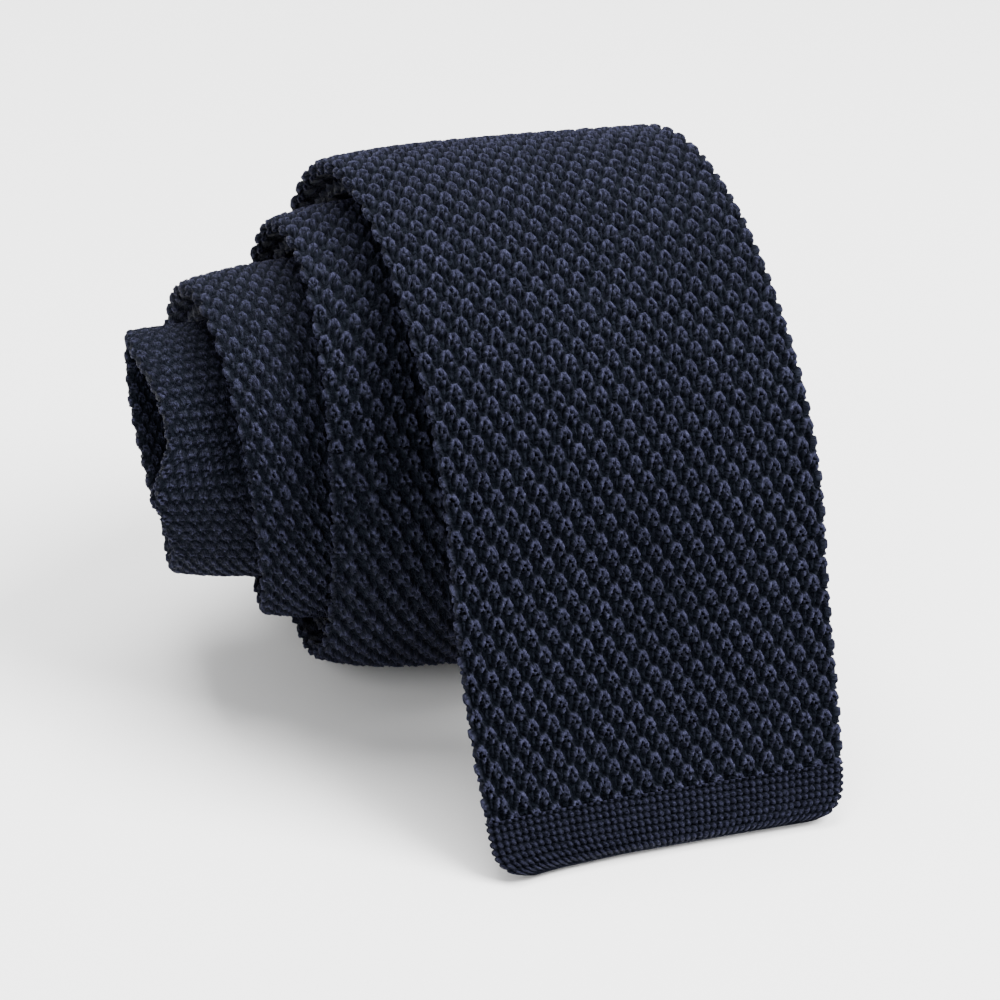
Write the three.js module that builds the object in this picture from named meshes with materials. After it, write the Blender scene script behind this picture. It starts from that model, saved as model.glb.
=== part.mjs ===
// A knit necktie, doubled at the neck and rolled up from the fold. It lies on its side,
// with the end of the wide blade hanging down the front of the roll.
// Millimetres, Z up. The roll's axis runs along X, and the blade's hem is at the front, -Y.

import * as THREE from 'three';

// sizes that may be changed, in mm and degrees
const bladeWidth = 60;
const clothThickness = 2.7;
const layerGap = 0.45;
const pieceGap = 0.45;
const rollRadius = 40;
const restHeight = 41.6;
const mouthRise = 3.0;
const mouthReach = 10;
const bladeRibLength = 8.5;
const tailRibLength = 8;
const hemCorner = 4.5;
const tailInset = 2.4;
const hemLean = 32;
const hemSwing = 2.5;
const stepsPerTurn = 48;
const flapSteps = 12;

// The wide half in the roll, from the neck out to the front of the last turn.
// turn is counted from the front of the second turn, one whole number to a turn.
// radius is a share of rollRadius, left and width are shares of bladeWidth.
// rise is the share of mouthRise by which the cloth widens inward from its left edge.
const turnRows = [
  { turn: -1.00, radius: 0.500, left: -0.700, width: 0.60, rise: 1.00 },
  { turn: -0.75, radius: 0.530, left: -0.635, width: 0.64, rise: 1.00 },
  { turn: -0.50, radius: 0.580, left: -0.560, width: 0.70, rise: 1.00 },
  { turn: -0.25, radius: 0.630, left: -0.555, width: 0.75, rise: 1.00 },
  { turn: 0.00, radius: 0.698, left: -0.510, width: 0.80, rise: 1.00 },
  { turn: 0.25, radius: 0.740, left: -0.390, width: 0.85, rise: 1.00 },
  { turn: 0.50, radius: 0.795, left: -0.295, width: 0.89, rise: 1.00 },
  { turn: 0.75, radius: 0.850, left: -0.310, width: 0.93, rise: 1.00 },
  { turn: 1.00, radius: 0.892, left: -0.340, width: 0.97, rise: 1.10 },
  { turn: 1.25, radius: 0.946, left: -0.270, width: 1.00, rise: 1.58 },
  { turn: 1.50, radius: 1.005, left: -0.160, width: 1.00, rise: 1.10 },
  { turn: 1.75, radius: 1.072, left: -0.160, width: 0.97, rise: 0.60 },
  { turn: 1.88, radius: 1.135, left: -0.148, width: 0.98, rise: 0.50 },
  { turn: 2.00, radius: 1.400, left: -0.138, width: 1.00, rise: 0.10 },
];

// The loop at the neck, seen from the end of the roll: up the front, over the top and down
// its own back. back and up are shares of rollRadius from the roll's axis, left is a share
// of bladeWidth.
const neckRows = [
  { back: -0.474, up: 0.000, left: -0.730 },
  { back: -0.425, up: 0.190, left: -0.690 },
  { back: -0.300, up: 0.345, left: -0.702 },
  { back: -0.100, up: 0.430, left: -0.730 },
  { back: 0.080, up: 0.415, left: -0.718 },
  { back: 0.185, up: 0.350, left: -0.706 },
  { back: 0.165, up: 0.265, left: -0.710 },
  { back: 0.080, up: 0.160, left: -0.715 },
  { back: -0.030, up: 0.060, left: -0.716 },
  { back: -0.150, up: -0.035, left: -0.712 },
  { back: -0.255, up: -0.100, left: -0.712 },
  { back: -0.305, up: -0.160, left: -0.700 },
];
// where the loop ends and both layers start
const neckTurn = -0.90;

// The half of a section from its left edge to its middle, as shares of clothThickness.
const edgeRows = [
  { inward: 0.00, up: 0.00 },
  { inward: 0.12, up: 0.32 },
  { inward: 0.48, up: 0.50 },
];
const middleShares = [0.16, 0.34, 0.66];

// The narrow half ends under the front of the blade.
const tailEndTurn = 1.80;
const tailWidthShare = 0.88;

// value of a column at a turn, on a smooth curve through the rows
function columnAt(rows, column, turn) {
  const last = rows.length - 1;
  let i = 0;
  while (i < last - 1 && turn > rows[i + 1].turn) i += 1;
  const slope = (k) => {
    const a = Math.max(k - 1, 0);
    const b = Math.min(k + 1, last);
    return (rows[b][column] - rows[a][column]) / (rows[b].turn - rows[a].turn);
  };
  const span = rows[i + 1].turn - rows[i].turn;
  const u = (turn - rows[i].turn) / span;
  const v = 1 - u;
  return rows[i][column] * (1 + 2 * u) * v * v
    + rows[i + 1][column] * (3 - 2 * u) * u * u
    + slope(i) * span * u * v * v
    - slope(i + 1) * span * v * u * u;
}

// point in the Y-Z plane at an angle and a distance from the roll's axis
function polar(turn, radius) {
  const angle = turn * 2 * Math.PI;
  return { y: -radius * Math.cos(angle), z: restHeight - radius * Math.sin(angle) };
}

// one station of the cloth's path: middle of the cloth, left edge, width and rise
function rollStation(turn, inward) {
  const radius = columnAt(turnRows, 'radius', turn) * rollRadius - inward;
  const point = polar(turn, radius);
  return {
    y: point.y,
    z: point.z,
    left: columnAt(turnRows, 'left', turn) * bladeWidth,
    width: columnAt(turnRows, 'width', turn) * bladeWidth,
    rise: columnAt(turnRows, 'rise', turn) * mouthRise,
  };
}

// stations of a layer between two turns
function rollStations(from, to, inward) {
  const count = Math.max(2, Math.ceil(Math.abs(to - from) * stepsPerTurn));
  const list = [];
  for (let i = 0; i <= count; i += 1) {
    list.push(rollStation(from + (to - from) * i / count, inward));
  }
  return list;
}

// The hanging end: it leaves the roll along its tangent and bends evenly to the hem's lean,
// so it is an arc whose length brings the hem down to the ground.
function flapStations(start, before) {
  const lean0 = Math.atan2(before.y - start.y, before.z - start.z);
  const lean1 = hemLean * Math.PI / 180;
  const drop = start.z - clothThickness / 2 * Math.sin(lean1);
  const bend = lean1 - lean0;
  const length = drop * bend / (Math.sin(lean1) - Math.sin(lean0));
  const radius = length / bend;
  const at = (s) => {
    const lean = lean0 + bend * s / length;
    const share = s / length;
    return {
      y: start.y - radius * (Math.cos(lean0) - Math.cos(lean)),
      z: start.z - radius * (Math.sin(lean) - Math.sin(lean0)),
      left: start.left + hemSwing * share * share,
      width: start.width * (1 - 0.065 * share ** 4),
      rise: start.rise - 0.9 * mouthRise * share,
      riseY: -1,
      riseZ: 0,
    };
  };
  return { at, length };
}

// a smooth curve through the neck's rows, from one layer to the other
function neckStations(outer, inner) {
  const middle = neckRows.map((row) => new THREE.Vector3(
    row.left * bladeWidth, row.back * rollRadius, restHeight + row.up * rollRadius));
  const ends = [outer, inner].map((s) => new THREE.Vector3(s.left, s.y, s.z));
  const curve = new THREE.CatmullRomCurve3([ends[0], ...middle, ends[1]]);
  return curve.getSpacedPoints(40).map((p, i, all) => {
    const share = i / (all.length - 1);
    return {
      y: p.y,
      z: p.z,
      left: p.x,
      width: outer.width + (inner.width - outer.width) * share,
      rise: outer.rise * (1 - 0.8 * Math.sin(Math.PI * share)),
    };
  });
}

// Drop a length of path from each end of a list of stations, for the gap to the next piece.
function trimmed(stations, fromStart, fromEnd) {
  const cut = (list, amount) => {
    const out = list.slice();
    let left = amount;
    while (left > 0) {
      const [a, b] = out;
      const size = Math.hypot(b.y - a.y, b.z - a.z);
      if (size > left) {
        const u = left / size;
        const mix = {};
        for (const key of Object.keys(a)) mix[key] = a[key] + (b[key] - a[key]) * u;
        out[0] = mix;
        left = 0;
      } else {
        out.shift();
        left -= size;
      }
    }
    return out;
  };
  return cut(cut(stations, fromStart).reverse(), fromEnd).reverse();
}

// One closed body of cloth along a list of stations: a flat section with rounded edges,
// square to the path, with flat ends. No point goes below the ground.
function clothGeometry(stations, thickness) {
  const upper = [];
  for (const row of edgeRows) upper.push({ base: 0, step: 1, inward: row.inward, up: row.up });
  for (const base of middleShares) upper.push({ base, step: 0, inward: 0, up: 0.5 });
  for (const row of edgeRows.slice().reverse()) {
    upper.push({ base: 1, step: -1, inward: row.inward, up: row.up });
  }
  const lower = upper.slice(1, -1).reverse().map((p) => ({ ...p, up: -p.up }));
  const ring = [...upper, ...lower];
  const places = [];
  const last = stations.length - 1;
  stations.forEach((s, i) => {
    const a = stations[Math.max(i - 1, 0)];
    const b = stations[Math.min(i + 1, last)];
    const size = Math.hypot(b.y - a.y, b.z - a.z);
    const normalY = (b.z - a.z) / size;
    const normalZ = -(b.y - a.y) / size;
    for (const p of ring) {
      const across = p.base * s.width + p.step * p.inward * thickness;
      const rise = s.rise * (1 - Math.exp(-Math.max(across, 0) / mouthReach));
      const lift = p.up * thickness;
      const riseY = s.riseY === undefined ? normalY : s.riseY;
      const riseZ = s.riseZ === undefined ? normalZ : s.riseZ;
      places.push(
        s.left + across,
        s.y + normalY * lift + riseY * rise,
        Math.max(s.z + normalZ * lift + riseZ * rise, 0),
      );
    }
  });
  const n = ring.length;
  const index = [];
  for (let i = 0; i < last; i += 1) {
    for (let j = 0; j < n; j += 1) {
      const k = (j + 1) % n;
      const a = i * n + j;
      const b = i * n + k;
      index.push(a, a + n, b, b, a + n, b + n);
    }
  }
  for (let j = 1; j < n - 1; j += 1) {
    index.push(0, j, j + 1);
    index.push(last * n, last * n + j + 1, last * n + j);
  }
  const geometry = new THREE.BufferGeometry();
  geometry.setAttribute('position', new THREE.Float32BufferAttribute(places, 3));
  geometry.setIndex(index);
  return geometry;
}

// narrow the last stations so that a hem's corners are round
function roundCorners(stations, corner) {
  const end = stations[stations.length - 1];
  return stations.map((s) => {
    const away = Math.hypot(end.y - s.y, end.z - s.z);
    const inside = Math.max(corner - away, 0);
    const inset = corner - Math.sqrt(Math.max(corner * corner - inside * inside, 0));
    const limit = Math.min(inset, corner * 0.75);
    return { ...s, left: s.left + limit, width: s.width - 2 * limit };
  });
}

// the direction in which the cloth widens is away from the roll's axis
function withRise(stations) {
  return stations.map((s) => {
    const size = Math.hypot(s.y, s.z - restHeight);
    if (s.riseY !== undefined) return s;
    return { ...s, riseY: s.y / size, riseZ: (s.z - restHeight) / size };
  });
}

const half = clothThickness / 2;

// the wide half and its hanging end
const wideStart = neckTurn;
const wideEnd = turnRows[turnRows.length - 1].turn;
const wideRoll = rollStations(wideStart, wideEnd, half);
const flapStart = wideRoll[wideRoll.length - 1];
const flap = flapStations(flapStart, wideRoll[wideRoll.length - 2]);
const bladeHang = [];
for (let i = 1; i <= flapSteps; i += 1) {
  bladeHang.push(flap.at((flap.length - bladeRibLength - 1.5 * pieceGap) * i / flapSteps));
}
const bladeRib = [];
for (const share of [0, 0.25, 0.47, 0.65, 0.78, 0.88, 0.95, 1]) {
  bladeRib.push(flap.at(flap.length - bladeRibLength * (1 - share)));
}

// the narrow half, one layer further in, narrower than the blade so that it stays hidden
const tailInward = half + clothThickness + layerGap;
function tailStations(from, to) {
  return rollStations(from, to, tailInward).map((s) => ({
    ...s,
    left: s.left + tailInset,
    width: s.width * tailWidthShare - tailInset,
  }));
}
const tailRoll = tailStations(wideStart, tailEndTurn);

const neck = neckStations(wideRoll[0], tailRoll[0]);

const navy = { color: 0x1b1f33, roughness: 0.92, metalness: 0 };
const deepNavy = { color: 0x171a2b, roughness: 0.95, metalness: 0 };

const group = new THREE.Group();

function addPiece(name, stations, look) {
  const material = new THREE.MeshStandardMaterial(look);
  const mesh = new THREE.Mesh(clothGeometry(stations, clothThickness), material);
  mesh.name = name;
  group.add(mesh);
}

addPiece('blade', withRise(trimmed([...wideRoll, ...bladeHang], 0, 0)), navy);
addPiece('blade_rib', withRise(roundCorners(bladeRib, hemCorner)), deepNavy);
addPiece('neck_band', withRise(trimmed(neck, 2 * pieceGap, 4 * pieceGap)), navy);
const tailLength = (list) => list.slice(1).reduce(
  (sum, s, i) => sum + Math.hypot(s.y - list[i].y, s.z - list[i].z), 0);
const tailSize = tailLength(tailRoll);
addPiece('tail', withRise(trimmed(tailRoll, 0, tailRibLength + pieceGap)), navy);
addPiece('tail_rib', withRise(roundCorners(
  trimmed(tailRoll, tailSize - tailRibLength, 0), hemCorner * 0.8)), deepNavy);

// set the whole so that the origin is at the middle of its footprint
const box = new THREE.Box3().setFromObject(group);
const middleX = (box.min.x + box.max.x) / 2;
const middleY = (box.min.y + box.max.y) / 2;
for (const mesh of group.children) mesh.geometry.translate(-middleX, -middleY, -box.min.z);

export default group;
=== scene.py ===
import math

import bpy
import numpy as np
from mathutils import Matrix, Vector


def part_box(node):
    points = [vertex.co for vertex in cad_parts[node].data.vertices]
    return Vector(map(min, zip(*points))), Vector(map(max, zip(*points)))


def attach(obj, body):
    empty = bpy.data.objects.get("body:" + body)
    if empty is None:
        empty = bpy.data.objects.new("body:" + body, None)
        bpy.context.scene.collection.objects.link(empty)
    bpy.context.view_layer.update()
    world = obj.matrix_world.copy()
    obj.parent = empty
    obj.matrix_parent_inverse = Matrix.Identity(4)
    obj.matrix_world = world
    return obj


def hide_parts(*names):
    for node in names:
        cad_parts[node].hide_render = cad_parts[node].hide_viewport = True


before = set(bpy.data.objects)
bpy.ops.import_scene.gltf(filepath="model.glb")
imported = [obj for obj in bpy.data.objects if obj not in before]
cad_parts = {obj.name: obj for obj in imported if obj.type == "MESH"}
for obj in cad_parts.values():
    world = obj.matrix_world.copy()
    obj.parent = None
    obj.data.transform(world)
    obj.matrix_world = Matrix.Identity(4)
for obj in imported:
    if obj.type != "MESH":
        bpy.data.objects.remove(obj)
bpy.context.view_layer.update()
mm = 0.001

# The tie as it lies, in mm and degrees, the same sizes as the frame was made from.
tie = {
    "bladeWidth": 60.0,
    "clothThickness": 2.7,
    "layerGap": 0.45,
    "rollRadius": 40.0,
    "restHeight": 41.6,
    "mouthRise": 3.0,
    "mouthReach": 10.0,
    "bladeRibLength": 8.5,
    "tailRibLength": 8.0,
    "hemCorner": 4.5,
    "tailInset": 2.4,
    "tailWidthShare": 0.88,
    "neckTurn": -0.90,
    "tailEndTurn": 1.80,
    "hemLean": 32.0,
    "hemSwing": 2.5,
    "hemNarrowing": 0.065,      # share of the width lost at the hem
    "hangRiseLoss": 0.9,        # share of mouthRise lost down the hanging end
    "neckRiseLoss": 0.8,        # share of the rise lost half way round the neck
    "tailCornerShare": 0.8,     # the tail's hem corner, as a share of hemCorner
    "edgeRadius": 1.3,
}

# The wide half in the roll. turn is 0 at the front of the second turn, radius is a share of
# rollRadius, left and width are shares of bladeWidth, rise is a share of mouthRise. The radius
# and left columns are rounded from a least-squares fit to points traced on the photograph.
turnNames = ("turn", "radius", "left", "width", "rise")
turnRows = dict(zip(turnNames, np.array([
    (-1.00, 0.500, -0.700, 0.60, 1.00),
    (-0.75, 0.530, -0.635, 0.64, 1.00),
    (-0.50, 0.580, -0.560, 0.70, 1.00),
    (-0.25, 0.630, -0.555, 0.75, 1.00),
    (0.00, 0.698, -0.510, 0.80, 1.00),
    (0.25, 0.740, -0.390, 0.85, 1.00),
    (0.50, 0.795, -0.295, 0.89, 1.00),
    (0.75, 0.850, -0.310, 0.93, 1.00),
    (1.00, 0.892, -0.340, 0.97, 1.10),
    (1.25, 0.946, -0.270, 1.00, 1.58),
    (1.50, 1.005, -0.160, 1.00, 1.10),
    (1.75, 1.072, -0.160, 0.97, 0.60),
    (1.88, 1.135, -0.148, 0.98, 0.50),
    (2.00, 1.400, -0.138, 1.00, 0.10),
]).T))

# The neck's loop, up the front, over the top and down its own back: shares of rollRadius
# behind and above the roll's axis, and its left edge as a share of bladeWidth, set near the
# places that a projection of the loop on the photograph called for.
neckRows = np.array([
    (-0.474, 0.000, -0.730),
    (-0.425, 0.190, -0.690),
    (-0.300, 0.345, -0.702),
    (-0.100, 0.430, -0.730),
    (0.080, 0.415, -0.718),
    (0.185, 0.350, -0.706),
    (0.165, 0.265, -0.710),
    (0.080, 0.160, -0.715),
    (-0.030, 0.060, -0.716),
    (-0.150, -0.035, -0.712),
    (-0.255, -0.100, -0.712),
    (-0.305, -0.160, -0.700),
])


# A column of the rows at any turn: a cubic through the rows whose slope at each row is that
# between its two neighbours.
def columnAt(name, turn):
    x, y = turnRows["turn"], turnRows[name]
    n = len(x)
    before = np.maximum(np.arange(n) - 1, 0)
    after = np.minimum(np.arange(n) + 1, n - 1)
    slope = (y[after] - y[before]) / (x[after] - x[before])
    turn = np.asarray(turn, float)
    i = np.clip(np.searchsorted(x, turn) - 1, 0, n - 2)
    span = x[i + 1] - x[i]
    u = (turn - x[i]) / span
    v = 1 - u
    return (y[i] * (1 + 2 * u) * v * v + y[i + 1] * (3 - 2 * u) * u * u
            + slope[i] * span * u * v * v - slope[i + 1] * span * v * u * u)


# A path is a dictionary of arrays along the cloth: y and z of the cloth's middle layer, its
# left edge in x, its width, and how far and which way it widens inward from the left edge.
def rollPath(fromTurn, toTurn, inward):
    turn = np.linspace(fromTurn, toTurn, int(abs(toTurn - fromTurn) * 360) + 2)
    radius = columnAt("radius", turn) * tie["rollRadius"] - inward
    angle = turn * 2 * np.pi
    y, up = -radius * np.cos(angle), -radius * np.sin(angle)
    size = np.hypot(y, up)
    return {
        "y": y, "z": tie["restHeight"] + up,
        "left": columnAt("left", turn) * tie["bladeWidth"],
        "width": columnAt("width", turn) * tie["bladeWidth"],
        "rise": columnAt("rise", turn) * tie["mouthRise"],
        "riseY": y / size, "riseZ": up / size,
    }


# The hanging end is an arc that leaves the roll along its tangent and ends at the hem's lean,
# long enough to bring the hem to the ground.
def hangPath(roll):
    y0, z0 = roll["y"][-1], roll["z"][-1]
    lean0 = math.atan2(roll["y"][-9] - y0, roll["z"][-9] - z0)
    lean1 = math.radians(tie["hemLean"])
    drop = z0 - tie["clothThickness"] / 2 * math.sin(lean1)
    bend = lean1 - lean0
    length = drop * bend / (math.sin(lean1) - math.sin(lean0))
    share = np.linspace(0, 1, 200)[1:]
    lean = lean0 + bend * share
    radius = length / bend
    one = np.ones_like(share)
    return {
        "y": y0 - radius * (math.cos(lean0) - np.cos(lean)),
        "z": z0 - radius * (np.sin(lean) - math.sin(lean0)),
        "left": roll["left"][-1] + tie["hemSwing"] * share ** 2,
        "width": roll["width"][-1] * (1 - tie["hemNarrowing"] * share ** 4),
        "rise": roll["rise"][-1] - tie["hangRiseLoss"] * tie["mouthRise"] * share,
        "riseY": -one, "riseZ": 0 * one,
    }


def joinPaths(*paths):
    return {key: np.concatenate([p[key] for p in paths]) for key in paths[0]}


# The neck's loop is a Catmull-Rom curve through the rows, 16 points to a stretch.
def neckPath(outer, inner):
    back, up, left = neckRows.T
    ends = [np.array([path["y"], path["z"], path["left"]]).T for path in (outer, inner)]
    points = np.stack([back * tie["rollRadius"], tie["restHeight"] + up * tie["rollRadius"],
                       left * tie["bladeWidth"]], 1)
    # the curve runs on into the layers that it joins
    ring = np.vstack([ends[0][12], ends[0][0], points, ends[1][0], ends[1][12]])
    p0, p1, p2, p3 = (ring[k:len(ring) - 3 + k, None] for k in range(4))
    u = np.linspace(0, 1, 16, endpoint=False)[None, :, None]
    curve = 0.5 * (2 * p1 + (p2 - p0) * u + (2 * p0 - 5 * p1 + 4 * p2 - p3) * u ** 2
                   + (3 * p1 - p0 - 3 * p2 + p3) * u ** 3)
    y, z, left = np.vstack([curve.reshape(-1, 3), ring[-2]]).T
    share = np.linspace(0, 1, len(y))
    size = np.hypot(y, z - tie["restHeight"])
    return {
        "y": y, "z": z, "left": left,
        "width": outer["width"][0] + (inner["width"][0] - outer["width"][0]) * share,
        "rise": outer["rise"][0] * (1 - tie["neckRiseLoss"] * np.sin(np.pi * share)),
        "riseY": y / size, "riseZ": (z - tie["restHeight"]) / size,
    }


# distance along a path in mm
def distanceAlong(path):
    step = np.hypot(np.diff(path["y"]), np.diff(path["z"]))
    return np.r_[0, np.cumsum(step)]


# Knitting: how high the yarn stands, in mm below the face, at u columns across and v rows
# along. Each stitch is an arch of two thick strands with a thread down its middle, a thread
# and a bead below it, two thin legs that run to the stitches of the next row, half a column
# aside, and a low thread at its left. The highest yarn shows.
knit = {
    "columnsAcross": 17,        # on one face, and one more on each edge
    "columnPitch": 3.35,        # mm, at full width
    "rowPitch": 2.65,           # mm, at full width
    "floor": -1.25,             # bottom of the slots between the stitches
    "slant": 0.04,              # how far the stitches lean to the right on their way down
    "strayAlong": 0.24,         # how far a stitch may sit off its place, in mm
    "strayAcross": 0.22,
    "strayTop": 0.10,
    "narrowRow": 0.30,          # share of rowPitch that stays where the width is nothing
    "narrowPower": 1.5,         # relief falls with this power of the width
    "plainRelief": -0.25,       # where an inner face without relief lies
    # strands: from x, y to x, y, radius, top; x from the stitch's middle, y down the tie
    "strands": (
        (-0.30, -0.58, -0.68, 0.36, 0.33, -0.02),
        (0.22, -0.62, 0.66, 0.36, 0.36, 0.03),
        (0.00, 0.30, 0.04, 0.76, 0.20, -0.24),
        (-0.30, 1.04, 0.42, 1.08, 0.22, -0.55),
        (0.20, 1.52, 0.34, 1.26, 0.33, -0.08),
        (0.70, 0.56, 0.90, 1.16, 0.23, -0.32),
        (0.90, 1.16, 1.28, 1.98, 0.22, -0.62),
        (-0.74, 0.56, -0.92, 1.06, 0.22, -0.36),
        (-0.92, 1.06, -1.26, 1.90, 0.21, -0.62),
        (-1.42, -0.50, -1.52, 0.55, 0.19, -0.80),
    ),
}


# a number from -0.5 to 0.5 for each stitch, hashed from its column and row
def strayOf(across, along, offset=0.0):
    hashed = np.sin(across * 12.9898 + along * 78.233 + offset) * 43758.5
    return hashed - np.floor(hashed) - 0.5


# a strand is round: its top falls off as the root of one less the squared distance
def yarn(distance, radius, top):
    inside = np.clip(1 - (distance / radius) ** 2, 0, 1)
    return np.where(distance < radius, top - radius + radius * np.sqrt(inside), knit["floor"])


# distance to a line's nearest point between its ends
def lineDistance(x, y, x0, y0, x1, y1):
    dx, dy = x1 - x0, y1 - y0
    t = np.clip(((x - x0) * dx + (y - y0) * dy) / (dx * dx + dy * dy), 0, 1)
    return np.hypot(x - x0 - t * dx, y - y0 - t * dy)


def knitHeight(u, v):
    height = np.full(np.broadcast(u, v).shape, knit["floor"])
    col, row = knit["columnPitch"], knit["rowPitch"]
    for odd in (0, 1):
        du = u - 0.5 * odd
        dv = (v - odd) / 2
        # no two stitches are quite alike
        stray = strayOf(np.round(du), np.round(dv), odd * 37.7)
        y = (dv - np.round(dv)) * 2 * row + knit["strayAlong"] * stray
        x = ((du - np.round(du)) * col - knit["slant"] * y
             + knit["strayAcross"] * stray)
        for x0, y0, x1, y1, radius, top in knit["strands"]:
            near = lineDistance(x, y, x0, y0, x1, y1)
            height = np.maximum(height, yarn(near, radius, top + knit["strayTop"] * stray))
    return height


# The ribbed ends: small slanting beads, three to a column, in plain rows.
rib = {
    "beadsPerColumn": 3,
    "rowPitch": 1.10,
    "slant": 0.32,
    "beadAcross": 0.50,         # half a bead, in mm
    "beadAlong": 0.60,
    "floor": -0.85,
    "strayAlong": 0.14,
    "strayDepth": 0.3,          # share of the depth
}


# a bead is half an ellipsoid: its height falls as the root of one less the squared radius
def ribHeight(u, v):
    pitch = knit["columnPitch"] / rib["beadsPerColumn"]
    bead = u * rib["beadsPerColumn"]
    stray = strayOf(np.round(bead), np.round(v))
    y = (v - np.round(v)) * rib["rowPitch"] + rib["strayAlong"] * stray
    x = (bead - np.round(bead)) * pitch - rib["slant"] * y
    rho = np.hypot(x / rib["beadAcross"], y / rib["beadAlong"])
    height = rib["floor"] * (1 - np.sqrt(np.clip(1 - rho ** 2, 0, 1)))
    return height * (1 + rib["strayDepth"] * stray)


# One piece of the knitted tube, from distance s0 to s1 along its path. Its section runs along
# the outer face, round the right edge, back along the inner face and round the left edge.
# The yarn's height moves each point along the section's own outward direction, less where the
# cloth is narrower. fine is the number of points to a column, over the first fineColumns
# columns from the left, and coarse over the rest. A back of 1 point to a column has no relief:
# its stitches come from the material, at the columns and rows that are kept as its UV map.
def knittedBand(name, path, s0, s1, rowOf, stitch, fine, fineColumns, coarse, back, perRow,
                hemEnd=False, corner=0.0):
    along = distanceAlong(path)
    rows = rowOf(s1) - rowOf(s0)
    steps = max(4, int(round(abs(rows) * perRow)))
    even = np.linspace(s0, s1, 4000)
    s = np.interp(np.linspace(0, 1, steps + 1), (rowOf(even) - rowOf(s0)) / rows, even)
    at = {key: np.interp(s, along, value)[:, None] for key, value in path.items()}
    slopeY = np.gradient(path["y"], along)
    slopeZ = np.gradient(path["z"], along)
    ny, nz = np.interp(s, along, slopeZ), -np.interp(s, along, slopeY)
    size = np.hypot(ny, nz)
    ny, nz = (ny / size)[:, None], (nz / size)[:, None]

    columns = knit["columnsAcross"]
    edge = tie["edgeRadius"]
    half = tie["clothThickness"] / 2
    face = np.r_[np.linspace(0, fineColumns, fineColumns * fine + 1),
                 np.linspace(fineColumns, columns, (columns - fineColumns) * coarse + 1)[1:]]
    face /= columns
    bow = np.linspace(0, 1, max(6, fine) + 1)[1:-1]
    under = np.linspace(0, 1, columns * back + 1)
    # section points: share of the flat part, sine and cosine of the way outward, column
    flat = np.r_[face, np.ones_like(bow), 1 - under, np.zeros_like(bow)]
    tilt = np.r_[0.5 + 0 * face, 0.5 - bow, -0.5 + 0 * under, -0.5 + bow] * np.pi
    side = np.r_[0 * face, np.ones_like(bow), 0 * under, -np.ones_like(bow)]
    column = np.r_[face * columns, columns + bow, columns + 1 + under * columns,
                   2 * columns + 1 + bow]
    plain = np.r_[0 * face, 0 * bow, np.ones_like(under) * (back < 3), 0 * bow]
    up, out = np.sin(tilt), np.cos(tilt) * side

    inset = 0 * s
    thick = np.ones_like(s)
    if hemEnd:
        inside = np.clip(corner - (s1 - s), 0, corner)
        inset = corner - np.sqrt(np.clip(corner ** 2 - inside ** 2, 0, None))
        thick = np.sqrt(np.clip(1 - np.clip(1 - (s1 - s) / half, 0, 1) ** 2, 0.02, 1))
    inset, thick = inset[:, None], thick[:, None]

    row = rowOf(s)[:, None] + 0 * column[None, :]
    relief = stitch(column[None, :], row)
    relief = relief * (1 - plain) + knit["plainRelief"] * plain
    depth = np.clip(relief / knit["floor"], 0, 1)
    narrow = (at["width"] / tie["bladeWidth"]) ** knit["narrowPower"]
    lift = relief * np.minimum(thick, narrow)
    left = at["left"] + inset + edge
    span = at["width"] - 2 * inset - 2 * edge
    rise = at["rise"] * (1 - np.exp(-(edge + flat[None, :] * span) / tie["mouthReach"]))
    x = left + flat[None, :] * span + out[None, :] * (edge * thick + lift)
    lean = up[None, :] * (half * thick + lift)
    y = at["y"] + ny * lean + at["riseY"] * rise
    z = np.maximum(at["z"] + nz * lean + at["riseZ"] * rise, 0.0)

    points = np.stack([x + shiftX, y + shiftY, z], -1).reshape(-1, 3) * mm
    n, m = len(s), len(column)
    i, j = np.meshgrid(np.arange(n - 1), np.arange(m), indexing="ij")
    k = (j + 1) % m
    quads = np.stack([i * m + j, i * m + k, (i + 1) * m + k, (i + 1) * m + j],
                     -1).reshape(-1, 4)
    ends = np.r_[np.arange(m)[::-1], np.arange((n - 1) * m, n * m)]
    mesh = bpy.data.meshes.new(name)
    mesh.from_pydata(points, [], quads.tolist() + ends.reshape(2, -1).tolist())
    mesh.attributes.new("yarnDepth", "FLOAT", "POINT").data.foreach_set(
        "value", depth.reshape(-1))
    mesh.attributes.new("plainFace", "FLOAT", "POINT").data.foreach_set(
        "value", np.tile(plain, n))
    # UV of every face corner: its column, one on from the last at the seam, and its row
    cornerColumn = np.stack([column[j], np.where(k == 0, 2 * columns + 2, column[k]),
                             np.where(k == 0, 2 * columns + 2, column[k]), column[j]], -1)
    cornerRow = np.stack([row[i, j], row[i, j], row[i + 1, j], row[i + 1, j]], -1)
    uv = np.vstack([np.stack([cornerColumn, cornerRow], -1).reshape(-1, 2),
                    np.stack([column[ends % m], row[ends // m, 0]], -1)])
    mesh.uv_layers.new(name="stitches").uv.foreach_set("vector", uv.reshape(-1))
    mesh.polygons.foreach_set("use_smooth", np.ones(len(mesh.polygons), bool))
    # faces point outwards: the sign of the enclosed volume tells
    tri = points[quads[:, :3]]
    if np.einsum("ij,ij->i", tri[:, 0], np.cross(tri[:, 1], tri[:, 2])).sum() < 0:
        mesh.flip_normals()
    mesh.update()
    piece = bpy.data.objects.new(name, mesh)
    bpy.context.scene.collection.objects.link(piece)
    print("knitted", name, 2 * len(quads) + 2 * (m - 2), "triangles")
    return piece


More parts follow.
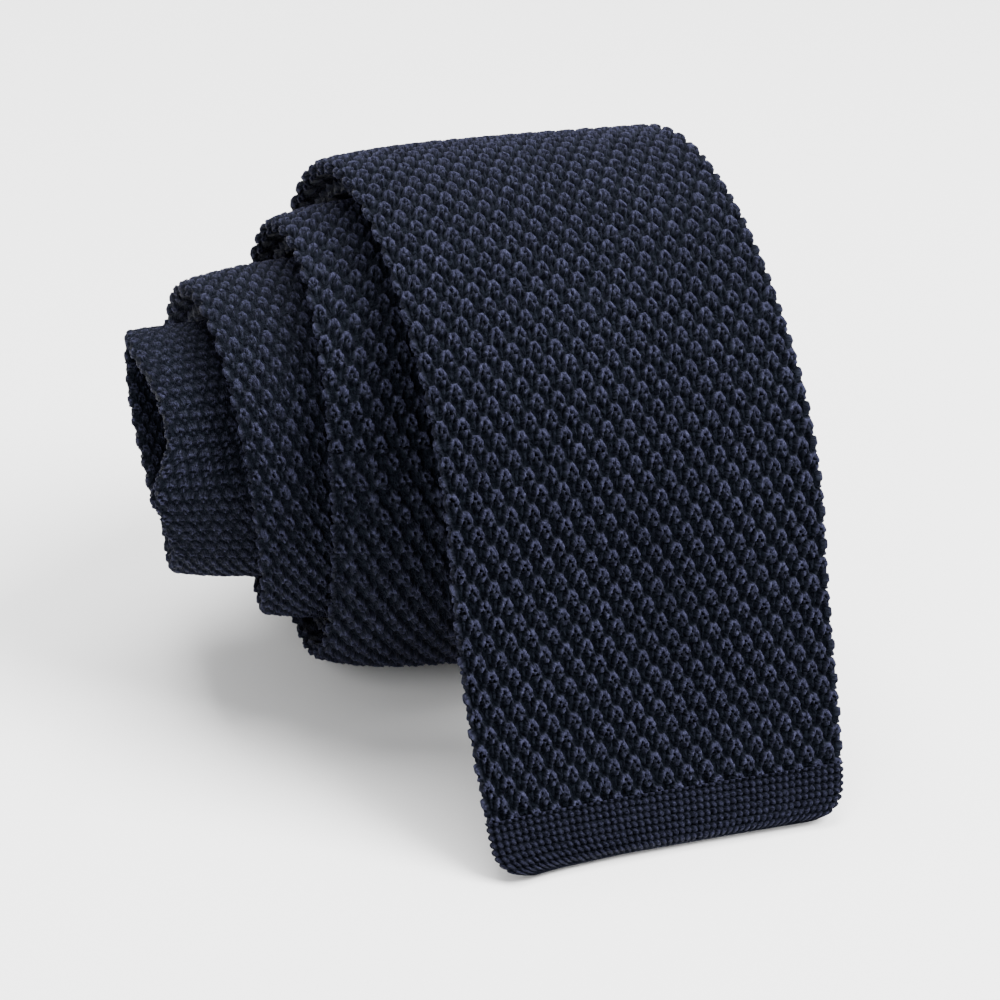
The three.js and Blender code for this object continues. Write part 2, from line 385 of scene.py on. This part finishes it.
# where the frame's zero lies from the roll's axis, read off the wide half's box
wideRoll = rollPath(tie["neckTurn"], 2.0, tie["clothThickness"] / 2)
low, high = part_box("blade")
farBack = (wideRoll["y"] + (tie["clothThickness"] / 2 + wideRoll["rise"] * (
    1 - np.exp(-wideRoll["width"] / tie["mouthReach"]))) * wideRoll["riseY"]).max()
shiftX = low[0] / mm - wideRoll["left"].min()
shiftY = high[1] / mm - farBack
print("axis of the roll at y", round(shiftY, 2), "mm, x shift", round(shiftX, 2))

wide = joinPaths(wideRoll, hangPath(wideRoll))
wideAlong = distanceAlong(wide)
wideLength = wideAlong[-1]
tailInward = tie["clothThickness"] * 1.5 + tie["layerGap"]
tail = rollPath(tie["neckTurn"], tie["tailEndTurn"], tailInward)
tail["left"] = tail["left"] + tie["tailInset"]
tail["width"] = tail["width"] * tie["tailWidthShare"] - tie["tailInset"]
tailLength = distanceAlong(tail)[-1]
neck = neckPath(wide, tail)
neckLength = distanceAlong(neck)[-1]


# Rows of stitches from the rib up: closer together where the tie is narrower.
def rowCounter(path, zeroAt):
    along = distanceAlong(path)
    share = path["width"] / tie["bladeWidth"]
    pitch = knit["rowPitch"] * (knit["narrowRow"] + (1 - knit["narrowRow"]) * share)
    rows = np.r_[0, np.cumsum(np.diff(along) * 2 / (pitch[1:] + pitch[:-1]))]
    zero = np.interp(zeroAt, along, rows)
    return lambda s: np.interp(s, along, rows) - zero


# Rows of beads from the start of a ribbed end.
def ribCounter(start):
    return lambda s: (s - start) / rib["rowPitch"]


# the wide half is made in stretches, which end at these turns
stretchEnds = {"inner": 0.35, "under": 0.95, "top": 1.40, "crest": 1.62}
bladeEnd = wideLength - tie["bladeRibLength"]
wideRow = rowCounter(wide, bladeEnd)
rollTurns = np.linspace(tie["neckTurn"], 2, len(wideRoll["y"]))
innerTurn, underTurn, topTurn, crest = np.interp(
    list(stretchEnds.values()), rollTurns, wideAlong[:len(rollTurns)])
hanging = (crest + bladeEnd) / 2
ribRow = ribCounter(bladeEnd)
tailRibStart = tailLength - tie["tailRibLength"]
tailRow = rowCounter(tail, tailRibStart)
tailRibRow = ribCounter(tailRibStart)
neckRow = rowCounter(neck, 0)

# piece: path, from, to, rows, stitch, node, slot, points: fine, over columns, coarse, back, row
bands = {
    "bladeInnerTurns": (wide, 0, innerTurn, wideRow, knitHeight, "blade", "blade_knit",
                        (8, 7, 2, 1, 6)),
    "bladeOuterTurns": (wide, innerTurn, underTurn, wideRow, knitHeight, "blade", "blade_knit",
                        (11, 6, 2, 1, 9)),
    "bladeUnderside": (wide, underTurn, topTurn, wideRow, knitHeight, "blade", "blade_knit",
                       (7, 17, 3, 1, 6)),
    "bladeTop": (wide, topTurn, crest, wideRow, knitHeight, "blade", "blade_knit",
                 (8, 17, 3, 1, 7)),
    "bladeCrest": (wide, crest, hanging, wideRow, knitHeight, "blade", "blade_knit",
                   (15, 17, 3, 1, 11)),
    "bladeHanging": (wide, hanging, bladeEnd, wideRow, knitHeight, "blade", "blade_knit",
                     (15, 17, 3, 1, 11)),
    "bladeRib": (wide, bladeEnd, wideLength, ribRow, ribHeight, "blade_rib", "blade_rib_knit",
                 (15, 17, 3, 4, 7)),
    "neckLoop": (neck, 0, neckLength, neckRow, knitHeight, "neck_band", "neck_knit",
                 (8, 9, 3, 4, 8)),
    "tailTurns": (tail, 0, tailRibStart, tailRow, knitHeight, "tail", "tail_knit",
                  (5, 3, 1, 1, 3)),
    "tailRib": (tail, tailRibStart, tailLength, tailRibRow, ribHeight, "tail_rib",
                "tail_rib_knit", (6, 17, 3, 2, 6)),
}
pieces = {}
hemCorners = {"bladeRib": tie["hemCorner"],
              "tailRib": tie["hemCorner"] * tie["tailCornerShare"]}
for name, (path, s0, s1, rowOf, stitch, node, slotName, counts) in bands.items():
    piece = knittedBand(name, path, s0, s1, rowOf, stitch, *counts,
                        hemEnd=name in hemCorners, corner=hemCorners.get(name, 0.0))
    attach(piece, "root")
    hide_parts(node)
    pieces[name] = piece
print("pieces done")

# Yarn finish. Colours are linear. The top, middle and deep colours are painted shade: the
# deeper the yarn lies in the knit, the darker its colour.
yarnLook = {
    "top": (0.0142, 0.0147, 0.0275),
    "middle": (0.0056, 0.0062, 0.0092),
    "deep": (0.0020, 0.0027, 0.0036),
    "roughness": 0.72,
    "fibreScale": 5200.0,
    "fibreBump": 0.55,
    "fibreTint": (0.55, 1.45),      # darkest and brightest fibre
    "plyAcross": 2.3,               # plies of the yarn per mm, across and along the tie
    "plyAlong": 1.3,
    # ply brightness that differs at random over the yarn; its bright spots stand in for glints
    # of light on the plies: partly painted highlight
    "plyToneAndGlint": (0.30, 1.95),
    "plyBump": 0.9,
    "patchTint": (0.86, 1.12),      # slow change of shade over the cloth
    "patchScale": 45.0,
    "plainDepth": 0.46,             # middle and swing of the depth on a plain face
    "plainSwing": -0.42,
    # the depths at which the painted shade reaches its top, middle and deep colours
    "rampStops": (0.02, 0.34, 0.80),    # depths of the top, middle and deep colours
    "roughSpread": 0.12,
    "specular": 0.09,
    "specularTint": (0.42, 0.46, 0.85, 1),
    "sheen": 0.02,
    "sheenRoughness": 0.4,
    "sheenTint": (0.45, 0.48, 0.85, 1),
    "ribShade": 0.60,               # the ribbed ends are darker
}


# Colour goes by how deep the yarn lies: painted shade, darker down in the holes and slots
# between the stitches.
# That is times fine fibres, the plies of the yarn, whose bright spots are partly painted
# glints, and a slow change of tone over the cloth.
# On a plain face the depth is a product of two cosines over the stitch columns and rows, which
# paints the shade of stitch holes on the flat face.
def yarnMaterial(name, shade):
    material = bpy.data.materials.new(name)
    material.use_nodes = True
    nodes, links = material.node_tree.nodes, material.node_tree.links
    shader = nodes["Principled BSDF"]

    def node(kind, settings, **inputs):
        made = nodes.new("ShaderNode" + kind)
        for key, value in settings.items():
            setattr(made, key, value)
        for key, value in inputs.items():
            socket = made.inputs[int(key[1:])] if key[1:].isdigit() else made.inputs[key]
            if isinstance(value, bpy.types.NodeSocket):
                links.new(value, socket)
            else:
                socket.default_value = value
        return made

    def maths(operation, first, second=0.0):
        return node("Math", {"operation": operation}, _0=first, _1=second).outputs[0]

    depth = node("Attribute", {"attribute_name": "yarnDepth"}).outputs["Fac"]
    plain = node("Attribute", {"attribute_name": "plainFace"}).outputs["Fac"]
    stitchPlace = node("UVMap", {"uv_map": "stitches"}).outputs["UV"]
    apart = node("SeparateXYZ", {}, _0=stitchPlace)
    waveAcross = maths("COSINE", maths("MULTIPLY", apart.outputs[0], 2 * math.pi))
    waveAlong = maths("COSINE", maths("MULTIPLY", apart.outputs[1], math.pi))
    lattice = maths("MULTIPLY", waveAcross, waveAlong)
    plainDepth = node("Math", {"operation": "MULTIPLY_ADD"}, _0=lattice,
                      _1=yarnLook["plainSwing"], _2=yarnLook["plainDepth"]).outputs[0]
    fullDepth = node("Mix", {"data_type": "FLOAT"}, _0=plain, _2=depth, _3=plainDepth)
    # painted shade: the colour runs from the top colour down to the near-black deep colour as
    # the yarn lies deeper
    ramp = node("ValToRGB", {}, Fac=fullDepth.outputs[0])
    stops = ramp.color_ramp.elements
    topStop, middleStop, deepStop = yarnLook["rampStops"]
    stops[0].position, stops[1].position = topStop, deepStop
    stops[0].color = (*[c * shade for c in yarnLook["top"]], 1)
    stops[1].color = (*yarnLook["deep"], 1)
    stops.new(middleStop).color = (*[c * shade for c in yarnLook["middle"]], 1)

    place = node("TexCoord", {}).outputs["Object"]
    fibre = node("TexNoise", {}, Vector=place, Scale=yarnLook["fibreScale"], Detail=2.0,
                 Roughness=0.6)
    patch = node("TexNoise", {}, Vector=place, Scale=yarnLook["patchScale"], Detail=2.0)
    plyPlace = node("VectorMath", {"operation": "MULTIPLY"}, _0=stitchPlace,
                    _1=(knit["columnPitch"] * yarnLook["plyAcross"],
                        knit["rowPitch"] * yarnLook["plyAlong"], 0))
    ply = node("TexNoise", {"noise_dimensions": "2D"}, Vector=plyPlace.outputs[0], Scale=1.0,
               Detail=1.5, Roughness=0.55, Distortion=0.6)
    # partly painted highlight: the ply noise brightens the colour in spots like glints on the
    # yarn, besides its random tone
    plyToneAndGlint = node("MapRange", {}, Value=ply.outputs[0], _1=0.30, _2=0.70,
                   _3=yarnLook["plyToneAndGlint"][0], _4=yarnLook["plyToneAndGlint"][1])
    tint = node("MapRange", {}, Value=fibre.outputs[0], _1=0.32, _2=0.68,
                _3=yarnLook["fibreTint"][0], _4=yarnLook["fibreTint"][1])
    slow = node("MapRange", {}, Value=patch.outputs[0], _1=0.3, _2=0.7,
                _3=yarnLook["patchTint"][0], _4=yarnLook["patchTint"][1])
    strength = maths("MULTIPLY", maths("MULTIPLY", tint.outputs[0], plyToneAndGlint.outputs[0]),
                     slow.outputs[0])
    colour = node("VectorMath", {"operation": "SCALE"}, _0=ramp.outputs[0], _3=strength)
    links.new(colour.outputs[0], shader.inputs["Base Color"])

    fibreBump = node("Bump", {}, Height=fibre.outputs[0], Strength=yarnLook["fibreBump"],
                     Distance=0.00012)
    plyBump = node("Bump", {}, Height=ply.outputs[0], Strength=yarnLook["plyBump"],
                   Distance=0.0005, Normal=fibreBump.outputs[0])
    latticeBump = node("Bump", {}, Height=maths("MULTIPLY", lattice, plain), Strength=0.6,
                       Distance=0.0006, Normal=plyBump.outputs[0])
    links.new(latticeBump.outputs[0], shader.inputs["Normal"])
    rough = node("MapRange", {}, Value=fibre.outputs[0], _1=0.3, _2=0.7,
                 _3=yarnLook["roughness"] - yarnLook["roughSpread"],
                 _4=yarnLook["roughness"] + yarnLook["roughSpread"])
    links.new(rough.outputs[0], shader.inputs["Roughness"])
    shader.inputs["Specular IOR Level"].default_value = yarnLook["specular"]
    shader.inputs["Specular Tint"].default_value = yarnLook["specularTint"]
    shader.inputs["Sheen Weight"].default_value = yarnLook["sheen"]
    shader.inputs["Sheen Roughness"].default_value = yarnLook["sheenRoughness"]
    shader.inputs["Sheen Tint"].default_value = yarnLook["sheenTint"]
    return material


knitYarn = yarnMaterial("navyKnitYarn", 1.0)
ribYarn = yarnMaterial("navyRibYarn", yarnLook["ribShade"])
for name, piece in pieces.items():
    piece.data.materials.append(ribYarn if name.endswith("Rib") else knitYarn)

# Pale floor, soft light and the camera, whose angles, place and lens were fitted to the tie's
# outline in the photograph.
studio = {
    "floorColour": (0.95, 0.95, 0.95, 1),
    "floorRoughness": 0.9,
    "floorHalf": 6,                 # m
    "floorHeight": -0.0002,         # m
    "worldStrength": 0.8,
    # light: place in m, size in m, power in W
    "lights": {
        "keyLight": ((0.62, -0.50, 1.0), 0.7, 48),
        "topLight": ((0.0, 0.25, 1.2), 0.8, 28),
        "fillLight": ((-0.8, -0.8, 0.7), 0.6, 7),
    },
    "lightAim": (0, 0, 0.03),
    "sensorWidth": 36,
    "turnLeft": 20.2,
    "lookDown": 25.9,
    "lean": 2.48,
    "distance": 398.0,
    "target": (6.2, -35.4, 42.5),
    "framePixels": 1000.0,
    "lensPixels": 2619.0,
}
floorMesh = bpy.data.meshes.new("floor")
reach = studio["floorHalf"]
floorMesh.from_pydata([(-reach, -reach, 0), (reach, -reach, 0), (reach, reach, 0),
                       (-reach, reach, 0)], [], [(0, 1, 2, 3)])
floor = bpy.data.objects.new("floor", floorMesh)
floor.location = (0, 0, studio["floorHeight"])
bpy.context.scene.collection.objects.link(floor)
floorMaterial = bpy.data.materials.new("paleFloor")
floorMaterial.use_nodes = True
floorShader = floorMaterial.node_tree.nodes["Principled BSDF"]
floorShader.inputs["Base Color"].default_value = studio["floorColour"]
floorShader.inputs["Roughness"].default_value = studio["floorRoughness"]
floorMesh.materials.append(floorMaterial)


def areaLight(name, place, size, power):
    data = bpy.data.lights.new(name, "AREA")
    data.size = size
    data.energy = power
    light = bpy.data.objects.new(name, data)
    light.location = place
    toAim = Vector(studio["lightAim"]) - Vector(place)
    light.rotation_euler = toAim.to_track_quat("-Z", "Y").to_euler()
    bpy.context.scene.collection.objects.link(light)


for name, settings in studio["lights"].items():
    areaLight(name, *settings)
world = bpy.data.worlds.new("studioAir")
world.use_nodes = True
world.node_tree.nodes["Background"].inputs["Color"].default_value = (1, 1, 1, 1)
world.node_tree.nodes["Background"].inputs["Strength"].default_value = studio["worldStrength"]
bpy.context.scene.world = world

turn, down, lean = (math.radians(studio[k]) for k in ("turnLeft", "lookDown", "lean"))
look = Vector((math.sin(turn) * math.cos(down), math.cos(turn) * math.cos(down),
               -math.sin(down)))
right = Vector((math.cos(turn), -math.sin(turn), 0))
up = right.cross(look)
right, up = (right * math.cos(lean) + up * math.sin(lean),
             up * math.cos(lean) - right * math.sin(lean))
target = Vector((studio["target"][0] + shiftX, studio["target"][1] + shiftY,
                 studio["target"][2])) * mm
cameraData = bpy.data.cameras.new("camera")
cameraData.sensor_width = studio["sensorWidth"]
cameraData.lens = studio["sensorWidth"] * studio["lensPixels"] / studio["framePixels"]
cameraData.clip_start = 0.01
camera = bpy.data.objects.new("camera", cameraData)
place = target - look * studio["distance"] * mm
axes = Matrix((right, up, -look)).transposed().to_4x4()
camera.matrix_world = Matrix.Translation(place) @ axes
bpy.context.scene.collection.objects.link(camera)
bpy.context.scene.camera = camera
print("studio done")
